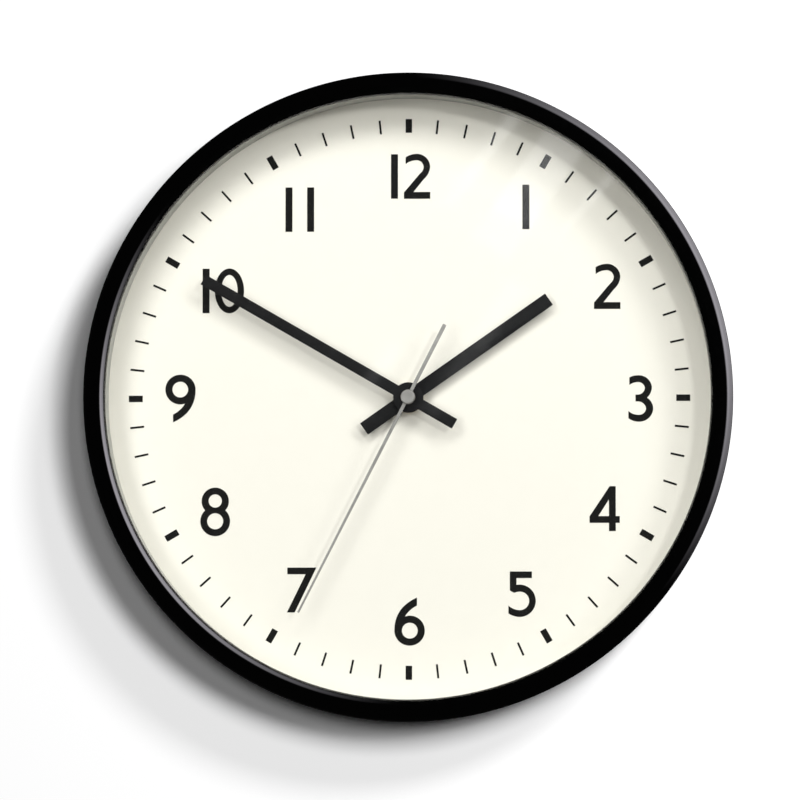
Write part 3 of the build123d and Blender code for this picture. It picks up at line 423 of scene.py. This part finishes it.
# ---- glass, gasket, spacer -----------------------------------------------------------------
GLASS_EDGE = 0.2
GASKET_BORE_R = 140.9
GASKET_EDGE = 0.1
SPACER_BORE_R = 140.4
SPACER_EDGE = 0.3


def ring_piece(name, node, body, outer, inner, rear, front, edge):
    mesh = bmesh.new()
    turned(mesh, softened_outline([
        (inner, rear, edge), (outer, rear, edge), (outer, front, edge), (inner, front, edge),
    ]))
    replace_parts(finish_mesh(name, mesh, body, SLOT_OF[node]), node)


def front_glass():
    mesh = bmesh.new()
    edge = GLASS_EDGE
    solid_turned(mesh, [
        (0.0, LENS_REAR), (LENS_R - edge, LENS_REAR), (LENS_R, LENS_REAR + edge),
        (LENS_R, LENS_FRONT - edge), (LENS_R - edge, LENS_FRONT), (0.0, LENS_FRONT),
    ])
    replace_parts(finish_mesh("front_glass", mesh, "case", "glass", 20.0), "lens")


front_glass()
ring_piece("glass_gasket", "lens_gasket", "case", GASKET_R, GASKET_BORE_R, GASKET_REAR,
           GASKET_FRONT, GASKET_EDGE)
ring_piece("white_spacer", "spacer_ring", "case", SPACER_R, SPACER_BORE_R, SPACER_REAR,
           SPACER_FRONT, SPACER_EDGE)

# ---- hands ---------------------------------------------------------------------------------
HUB_R = 7.0
HUB_STEPS = 48          # steps in each side of a hub
BORE_STEPS = 144        # points round a hand's bore
HUB_SOLVE_STEPS = 20    # rounds that settle where a tapered blade meets its hub
TIP_ROUND = 0.25        # widest rounding of a blade's corner
TIP_SHARE = 0.6         # that rounding, as a part of half the blade's width at most
BLADE_ROOT = 0.1        # how far from the axis a blade's side is kept
BOSS_NECK_R = 1.9       # bore of the second hand, and the cap's neck in it
BOSS_NECK_EDGE = 0.1
BOSS_REAR_EDGE = 0.15
BOSS_ROUND = 0.6
BOSS_DISH = 0.06
BOSS_TURNS = 96


def arc(radius, start, stop, steps):
    """Points on a circle about the hands' axis, with angles in degrees clockwise from twelve."""
    points = []
    for step in range(steps + 1):
        angle = math.radians(start + (stop - start) * step / steps)
        points.append((radius * math.sin(angle), radius * math.cos(angle)))
    return points


def clockwise(points, degrees):
    a = math.radians(degrees)
    return [(x * math.cos(a) + y * math.sin(a), y * math.cos(a) - x * math.sin(a)) for x, y in points]


def hand_outline(tip_w, length, tail_w, tail, hub_r):
    """A hand pointing at twelve: a straight-sided blade through a round hub."""
    def half_width(y):
        share = (y + tail) / (length + tail)
        return (tail_w + (tip_w - tail_w) * share) / 2

    def hub_angle(sign):
        y = sign * hub_r
        for _ in range(HUB_SOLVE_STEPS):
            y = sign * math.sqrt(hub_r ** 2 - half_width(y) ** 2)
        return math.degrees(math.atan2(half_width(y), abs(y)))

    up, down = hub_angle(1), hub_angle(-1)
    tip, end = tip_w / 2, tail_w / 2
    corner = min(TIP_ROUND, tip * TIP_SHARE)
    nip = min(TIP_ROUND, end * TIP_SHARE)
    outline = softened_outline([(tip, length, corner), (tip, 0.0, 0.0), (-tip, 0.0, 0.0),
                                (-tip, length, corner)])
    outline = [p for p in outline if p[1] > BLADE_ROOT]
    right = [p for p in outline if p[0] > 0]
    left = [p for p in outline if p[0] < 0]
    tails = softened_outline([(-end, -tail, nip), (-end, 0.0, 0.0), (end, 0.0, 0.0),
                              (end, -tail, nip)])
    tails = [p for p in tails if p[1] < -BLADE_ROOT]
    return (
        left + right
        + arc(hub_r, up, 180.0 - down, HUB_STEPS)
        + [p for p in tails if p[0] > 0] + [p for p in tails if p[0] < 0]
        + arc(hub_r, 180.0 + down, 360.0 - up, HUB_STEPS)
    )


def hand(name, node, body, angle, outline, bore, bevel):
    _, rear, front = span(node)
    last = 360.0 - 360.0 / BORE_STEPS
    loops = [clockwise(outline, angle), clockwise(arc(bore, 0.0, last, BORE_STEPS - 1), angle)]
    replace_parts(plate(name, loops, rear, front, bevel, body, SLOT_OF[node]), node)


hour_shape = hand_outline(tip_w=6.4, length=79.8, tail_w=6.4, tail=25.3, hub_r=HUB_R)
minute_shape = hand_outline(tip_w=5.1, length=110.3, tail_w=5.1, tail=24.8, hub_r=HUB_R)
second_shape = hand_outline(tip_w=0.95, length=112.0, tail_w=1.8, tail=37.7, hub_r=3.0)
hand("hour_baton", "hour_hand", "hours", 55.0, hour_shape, bore=2.5, bevel=0.12)
hand("minute_baton", "minute_hand", "minutes", 300.0, minute_shape, bore=1.6, bevel=0.12)
hand("second_sweep", "second_hand", "seconds", 207.0, second_shape, bore=BOSS_NECK_R, bevel=0.08)


def second_boss():
    """A turned cap with a rounded shoulder and a slightly dished face."""
    radius, rear, front = span("second_hand_boss")
    _, _, blade_front = span("second_hand")
    bore, _, bore_end = span("seconds_arbor")
    neck = BOSS_NECK_R
    dish = front - BOSS_DISH
    mesh = bmesh.new()
    solid_turned(mesh, [(0.0, bore_end), *softened_outline([
        (bore, bore_end, 0.0), (bore, rear, 0.0), (neck, rear, BOSS_NECK_EDGE),
        (neck, blade_front, 0.0), (radius, blade_front, BOSS_REAR_EDGE),
        (radius, front, BOSS_ROUND), (radius / 3, dish, 0.0),
    ]), (0.0, dish)], turns=BOSS_TURNS)
    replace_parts(finish_mesh("second_cap", mesh, "seconds", "hand_silver", 50.0), "second_hand_boss")


second_boss()

# ---- pieces behind the dial -----------------------------------------------------------------
BODY_ROWS = frame["record"]["behaviour"]["bodies"]
BODY_OF = {node: body for body, row in BODY_ROWS.items() for node in row}
FLAT_ANGLE = 0.5        # degrees under which two CAD facets are one face
EDGE_ANGLE = 32.0       # degrees over which an edge is sharp and is rounded
WELD = 1e-6


def eased(name, node, width):
    """A CAD piece with its sharp edges rounded over by a width in millimetres."""
    mesh = bmesh.new()
    mesh.from_mesh(frame["nodes"][node].data)
    bmesh.ops.remove_doubles(mesh, verts=mesh.verts, dist=WELD)
    flat = math.radians(FLAT_ANGLE)
    bmesh.ops.dissolve_limit(mesh, angle_limit=flat, verts=mesh.verts, edges=mesh.edges)
    piece = finish_mesh(name, mesh, BODY_OF[node], SLOT_OF[node], EDGE_ANGLE)
    bevel = piece.modifiers.new("edges", "BEVEL")
    bevel.width = width * MM
    bevel.segments = 3
    bevel.limit_method = "ANGLE"
    bevel.angle_limit = math.radians(EDGE_ANGLE)
    bevel.harden_normals = True
    ready = piece.evaluated_get(bpy.context.evaluated_depsgraph_get())
    data = bpy.data.meshes.new_from_object(ready)
    piece.modifiers.clear()
    piece.data = data
    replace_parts(piece, node)


eased("back_panel", "rear_cover", 0.35)
eased("back_screws", "rear_cover_screws", 0.18)
eased("hanger", "hanger_plate", 0.15)
eased("hanger_fixings", "hanger_screws", 0.15)
eased("movement_box", "movement_housing", 0.35)
eased("movement_lid", "movement_cover", 0.18)
eased("finger_knob", "setting_knob", 0.15)
eased("clamp_nut", "stem_nut", 0.2)

# ---- camera --------------------------------------------------------------------------------
CAMERA_RIGHT = math.radians(2.23)
CAMERA_BELOW = math.radians(3.3)
CAMERA_DISTANCE = 1.9
VIEW_WIDTH = 0.36895            # what the frame spans at the bezel
BEZEL_Y = -0.0428
AIM_LEFT = 0.00334              # how far the aim lies left of the bezel's centre
AIM_DOWN = 0.00195
SENSOR_WIDTH = 36.0
bezel_centre = Vector((0.0, BEZEL_Y, 0.0))
back = Vector((
    math.sin(CAMERA_RIGHT) * math.cos(CAMERA_BELOW),
    -math.cos(CAMERA_RIGHT) * math.cos(CAMERA_BELOW),
    -math.sin(CAMERA_BELOW),
))
right = back.cross(Vector((0, 0, 1))).normalized() * -1
up = back.cross(right).normalized()
aim = bezel_centre - right * AIM_LEFT - up * AIM_DOWN
eye = aim + back * CAMERA_DISTANCE
camera_data = bpy.data.cameras.new("camera")
camera_data.sensor_width = SENSOR_WIDTH
camera_data.angle = 2 * math.atan(VIEW_WIDTH / 2 / CAMERA_DISTANCE)
camera = bpy.data.objects.new("camera", camera_data)
bpy.context.scene.collection.objects.link(camera)
camera.location = eye
camera.rotation_mode = "QUATERNION"
camera.rotation_quaternion = back.to_track_quat("Z", "Y")
bpy.context.scene.camera = camera

# ---- studio --------------------------------------------------------------------------------


def group(name, pieces):
    made = bpy.data.collections.new(name)
    for piece in pieces:
        made.objects.link(piece)
    return made


def stage_surface(name, colour):
    """Matt paint that shows from its front only and never stands in a lamp's way."""
    material = bpy.data.materials.new(name)
    material.use_nodes = True
    nodes, links = material.node_tree.nodes, material.node_tree.links
    shader = nodes["Principled BSDF"]
    shader.inputs["Base Color"].default_value = (*colour, 1.0)
    shader.inputs["Roughness"].default_value = 0.9
    shader.inputs["Specular IOR Level"].default_value = 0.0
    clear = nodes.new("ShaderNodeBsdfTransparent")
    facing = nodes.new("ShaderNodeNewGeometry")
    paths = nodes.new("ShaderNodeLightPath")
    back = nodes.new("ShaderNodeMixShader")
    shadow = nodes.new("ShaderNodeMixShader")
    links.new(facing.outputs["Backfacing"], back.inputs[0])
    links.new(shader.outputs[0], back.inputs[1])
    links.new(clear.outputs[0], back.inputs[2])
    links.new(paths.outputs["Is Shadow Ray"], shadow.inputs[0])
    links.new(back.outputs[0], shadow.inputs[1])
    links.new(clear.outputs[0], shadow.inputs[2])
    links.new(shadow.outputs[0], nodes["Material Output"].inputs["Surface"])
    return material


WALL_REACH = 3.0
WALL_LAP = 0.001                # how far the wall reaches in behind the case's edge
WALL_BACK = 0.0005              # how far the wall's face lies behind the clock's rear
FLOOR_DROP = 0.55


def wall():
    """The wall the clock hangs on, open behind the clock so that its back can be seen."""
    mesh = bmesh.new()
    opening = CASE_R * MM - WALL_LAP
    inner, outer = [], []
    for turn in range(TURNS):
        angle = 2 * math.pi * turn / TURNS
        c, s = math.cos(angle), math.sin(angle)
        inner.append(mesh.verts.new((opening * c, WALL_BACK, opening * s)))
        outer.append(mesh.verts.new((WALL_REACH * c, WALL_BACK, WALL_REACH * s)))
    for turn in range(TURNS):
        onward = (turn + 1) % TURNS
        mesh.faces.new((inner[turn], outer[turn], outer[onward], inner[onward]))
    for face in mesh.faces:
        if face.normal.y > 0:
            face.normal_flip()
    data = bpy.data.meshes.new("wall")
    mesh.to_mesh(data)
    mesh.free()
    piece = bpy.data.objects.new("wall", data)
    data.materials.append(stage_surface("wall_paint", (0.9, 0.9, 0.9)))
    bpy.context.scene.collection.objects.link(piece)
    piece.visible_glossy = False
    piece.visible_diffuse = False
    piece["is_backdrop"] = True
    return piece


def floor():
    data = bpy.data.meshes.new("floor")
    reach = WALL_REACH
    data.from_pydata([(-reach, -reach, -FLOOR_DROP), (reach, -reach, -FLOOR_DROP),
                      (reach, reach, -FLOOR_DROP), (-reach, reach, -FLOOR_DROP)], [], [(0, 1, 2, 3)])
    piece = bpy.data.objects.new("floor", data)
    data.materials.append(stage_surface("floor_paint", (0.86, 0.86, 0.86)))
    bpy.context.scene.collection.objects.link(piece)
    piece.visible_glossy = False
    piece.visible_diffuse = False
    piece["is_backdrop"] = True
    return piece


wall_piece = wall()
floor_piece = floor()
LEAST_COSINE = 0.2              # keeps a lamp that grazes the dial from running away
BOX_REACH = 64                  # degrees the softbox spans to each side of its middle
BOX_TURN_FADE = 8               # degrees from its middle where it starts to fade sideways
BOX_LOW = 13                    # tilt of its near edge from the dial's axis, in degrees
BOX_FULL = 32                   # tilt where it is at full strength
BOX_FADE = 45                   # tilt where it starts to fade again
BOX_HIGH = 125                  # tilt of its far edge
BOX_EDGE_SHARE = 0.25           # its strength at the far edge
BOX_STEPS = 32
STREAK_SHARES = (1.0, 0.75, 0.5)


def lamp(name, azimuth, tilt, distance, size, share, receivers, colour=(1.0, 1.0, 1.0)):
    """A round area lamp that faces the dial's centre.

    azimuth is clockwise from twelve and tilt is from the dial's axis, in degrees. share is
    the lamp's part of what a white surface facing front sends back.
    """
    a, t = math.radians(azimuth), math.radians(tilt)
    towards = Vector((math.sin(a) * math.sin(t), -math.cos(t), math.cos(a) * math.sin(t)))
    data = bpy.data.lights.new(name, "AREA")
    data.shape = "DISK"
    data.size = size
    data.energy = share * math.pi ** 2 * distance ** 2 / max(abs(math.cos(t)), LEAST_COSINE)
    data.color = colour
    piece = bpy.data.objects.new(name, data)
    bpy.context.scene.collection.objects.link(piece)
    piece.location = towards * distance
    piece.rotation_mode = "QUATERNION"
    piece.rotation_quaternion = towards.to_track_quat("Z", "Y")
    piece.visible_camera = False
    piece.light_linking.receiver_collection = receivers
    return piece


def softbox(name, azimuth, radius, brightness, receivers, colour):
    """A curved panel round one side of the clock that fades towards its edges.

    It only shows in gloss. Its own z axis is the dial's, and its y axis is the panel's middle.
    """
    reach, low, high, steps = BOX_REACH, BOX_LOW, BOX_HIGH, BOX_STEPS
    data = bpy.data.meshes.new(name)
    points, faces = [], []
    for row in range(steps + 1):
        tilt = math.radians(low + (high - low) * row / steps)
        for column in range(steps + 1):
            turn = math.radians(reach * (2 * column / steps - 1))
            points.append((radius * math.sin(tilt) * math.sin(turn),
                           radius * math.sin(tilt) * math.cos(turn), radius * math.cos(tilt)))
    for row in range(steps):
        for column in range(steps):
            corner = row * (steps + 1) + column
            faces.append((corner, corner + 1, corner + steps + 2, corner + steps + 1))
    data.from_pydata(points, [], faces)
    material = bpy.data.materials.new(name + "_cloth")
    material.use_nodes = True
    nodes, links = material.node_tree.nodes, material.node_tree.links
    nodes.remove(nodes["Principled BSDF"])

    def maths(operation, first, second=None):
        node = nodes.new("ShaderNodeMath")
        node.operation = operation
        for slot, value in enumerate((first, second)):
            if isinstance(value, (int, float)):
                node.inputs[slot].default_value = value
            elif value is not None:
                links.new(value, node.inputs[slot])
        return node.outputs[0]

    def fade(value, start, end, at_start, at_end, kind="SMOOTHSTEP"):
        node = nodes.new("ShaderNodeMapRange")
        node.interpolation_type = kind
        for key, number in zip(("From Min", "From Max", "To Min", "To Max"),
                               (math.radians(start), math.radians(end), at_start, at_end)):
            node.inputs[key].default_value = number
        links.new(value, node.inputs["Value"])
        return node.outputs["Result"]

    axes = nodes.new("ShaderNodeSeparateXYZ")
    links.new(nodes.new("ShaderNodeTexCoord").outputs["Object"], axes.inputs[0])
    x, y, z = axes.outputs
    turn = maths("ABSOLUTE", maths("ARCTAN2", x, y))
    tilt = maths("ARCCOSINE", maths("DIVIDE", z, radius))
    sideways = fade(turn, BOX_TURN_FADE, reach, 1.0, 0.0)
    strength = maths("MULTIPLY", sideways, fade(tilt, low, BOX_FULL, 0.0, 1.0))
    falling = fade(tilt, BOX_FADE, high, 1.0, BOX_EDGE_SHARE, "LINEAR")
    strength = maths("MULTIPLY", strength, falling)
    glow = nodes.new("ShaderNodeEmission")
    glow.inputs["Color"].default_value = (*colour, 1.0)
    links.new(maths("MULTIPLY", strength, brightness), glow.inputs["Strength"])
    clear = nodes.new("ShaderNodeBsdfTransparent")
    both = nodes.new("ShaderNodeAddShader")
    links.new(glow.outputs[0], both.inputs[0])
    links.new(clear.outputs[0], both.inputs[1])
    links.new(both.outputs[0], nodes["Material Output"].inputs["Surface"])
    data.materials.append(material)
    piece = bpy.data.objects.new(name, data)
    bpy.context.scene.collection.objects.link(piece)
    a = math.radians(azimuth)
    middle = Vector((math.sin(a), 0.0, math.cos(a)))
    out = Vector((0.0, -1.0, 0.0))
    piece.matrix_world = Matrix((middle.cross(out), middle, out)).transposed().to_4x4()
    piece.visible_camera = False
    piece.visible_diffuse = False
    piece.visible_transmission = False
    piece.visible_shadow = False
    piece.light_linking.receiver_collection = receivers
    piece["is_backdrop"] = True


def streak(name, start, end, width, brightness, receivers):
    """Strip lamps that the flat glass mirrors to the camera between two points of the dial.

    Three strips share their outer end and differ in length, so the streak fades inwards.
    """
    glass = -LENS_FRONT * MM
    for step, reach in enumerate(STREAK_SHARES):
        ends = []
        for share in (0.0, reach):
            x = start[0] + (end[0] - start[0]) * share
            y = start[1] + (end[1] - start[1]) * share
            ends.append(Vector((2 * x * MM - eye.x, eye.y, 2 * y * MM - eye.z)))
        along = ends[0] - ends[1]
        middle = (ends[0] + ends[1]) / 2
        away = (middle - Vector((0.0, glass, 0.0))).normalized()
        across = along.cross(away).normalized()
        data = bpy.data.lights.new(f"{name}_{step}", "AREA")
        data.shape = "RECTANGLE"
        data.size, data.size_y = 2 * width * MM, along.length
        data.energy = brightness / len(STREAK_SHARES) * math.pi * data.size * data.size_y
        piece = bpy.data.objects.new(data.name, data)
        bpy.context.scene.collection.objects.link(piece)
        turn = Matrix((across, away.cross(across), away)).transposed().to_4x4()
        piece.matrix_world = Matrix.Translation(middle) @ turn
        piece.visible_camera = False
        piece.light_linking.receiver_collection = receivers


object_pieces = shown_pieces()
named = {piece.name: piece for piece in object_pieces}
case_pieces = [named["bezel_moulding"]]
glass_pieces = [named["front_glass"]]
face_pieces = [p for p in object_pieces if p not in case_pieces + glass_pieces]
on_wall = group("lit_wall", [wall_piece])
on_floor = group("lit_floor", [floor_piece])
on_face = group("lit_face", face_pieces)
on_case = group("lit_case", case_pieces)
on_glass = group("lit_glass", glass_pieces)
on_back = group("lit_back", face_pieces)

# The wall's lamps throw the case's stepped shadow down to the lower left.
for number, (azimuth, tilt, size, share) in enumerate((
    (50, 4, 0.5, 0.19), (55, 21.5, 0.7, 0.56), (75, 24, 0.5, 0.16), (43, 44, 0.6, 0.30),
)):
    lamp(f"wall_lamp_{number}", azimuth, tilt, 3.0, size, share, on_wall)
lamp("floor_lamp", 0.0, 90.0, 9.0, 3.0, 0.22, on_floor)

# The dial's lamps: a small key for the hands' shadows, and an arch of soft ones over the top.
lamp("dial_key", 60.0, 25.0, 2.5, 0.3, 0.18, on_face)
for number, (azimuth, tilt, share) in enumerate((
    (-110, 22, 0.10), (-75, 27, 0.13), (-45, 37, 0.14), (-15, 40, 0.12), (5, 38, 0.12),
    (22, 50, 0.095), (42, 52, 0.10), (62, 52, 0.12), (95, 40, 0.06),
)):
    lamp(f"dial_soft_{number}", azimuth, tilt, 2.0, 0.6, share, on_face)

softbox("case_softbox", 62.0, 1.3, 8.0, on_case, (1.0, 0.965, 1.04))

# Strips that cross the glass at the upper right, and fainter ones that reach the hands.
streak("streak_1", (55.0, 137.0), (18.0, 88.0), 5.5, 1.6, on_glass)
streak("streak_2", (76.0, 123.0), (38.0, 68.0), 20.0, 1.45, on_glass)
streak("streak_3", (96.0, 104.0), (72.0, 76.0), 4.0, 1.5, on_glass)
streak("streak_4", (52.0, 52.0), (10.0, -8.0), 9.0, 0.45, on_glass)
streak("streak_5", (-5.0, 24.0), (-24.0, -2.0), 6.0, 0.45, on_glass)

# Lamps behind the wall for the clock's back.
lamp("back_left", 300.0, 135.0, 1.8, 1.0, 0.5, on_back)
lamp("back_right", 80.0, 140.0, 1.8, 0.8, 0.3, on_back)
lamp("back_fill", 0.0, 178.0, 2.5, 3.0, 0.12, on_back)

world = bpy.data.worlds.new("studio")
bpy.context.scene.world = world
world.use_nodes = True
sky = world.node_tree
seen = sky.nodes["Background"]
seen.inputs["Color"].default_value = (0.9, 0.9, 0.9, 1.0)
dim = sky.nodes.new("ShaderNodeBackground")
dim.inputs["Color"].default_value = (0.018, 0.018, 0.018, 1.0)
choice = sky.nodes.new("ShaderNodeMixShader")
paths = sky.nodes.new("ShaderNodeLightPath")
sky.links.new(paths.outputs["Is Camera Ray"], choice.inputs[0])
sky.links.new(dim.outputs[0], choice.inputs[1])
sky.links.new(seen.outputs[0], choice.inputs[2])
sky.links.new(choice.outputs[0], sky.nodes["World Output"].inputs["Surface"])
bpy.context.scene.view_settings.view_transform = "Standard"
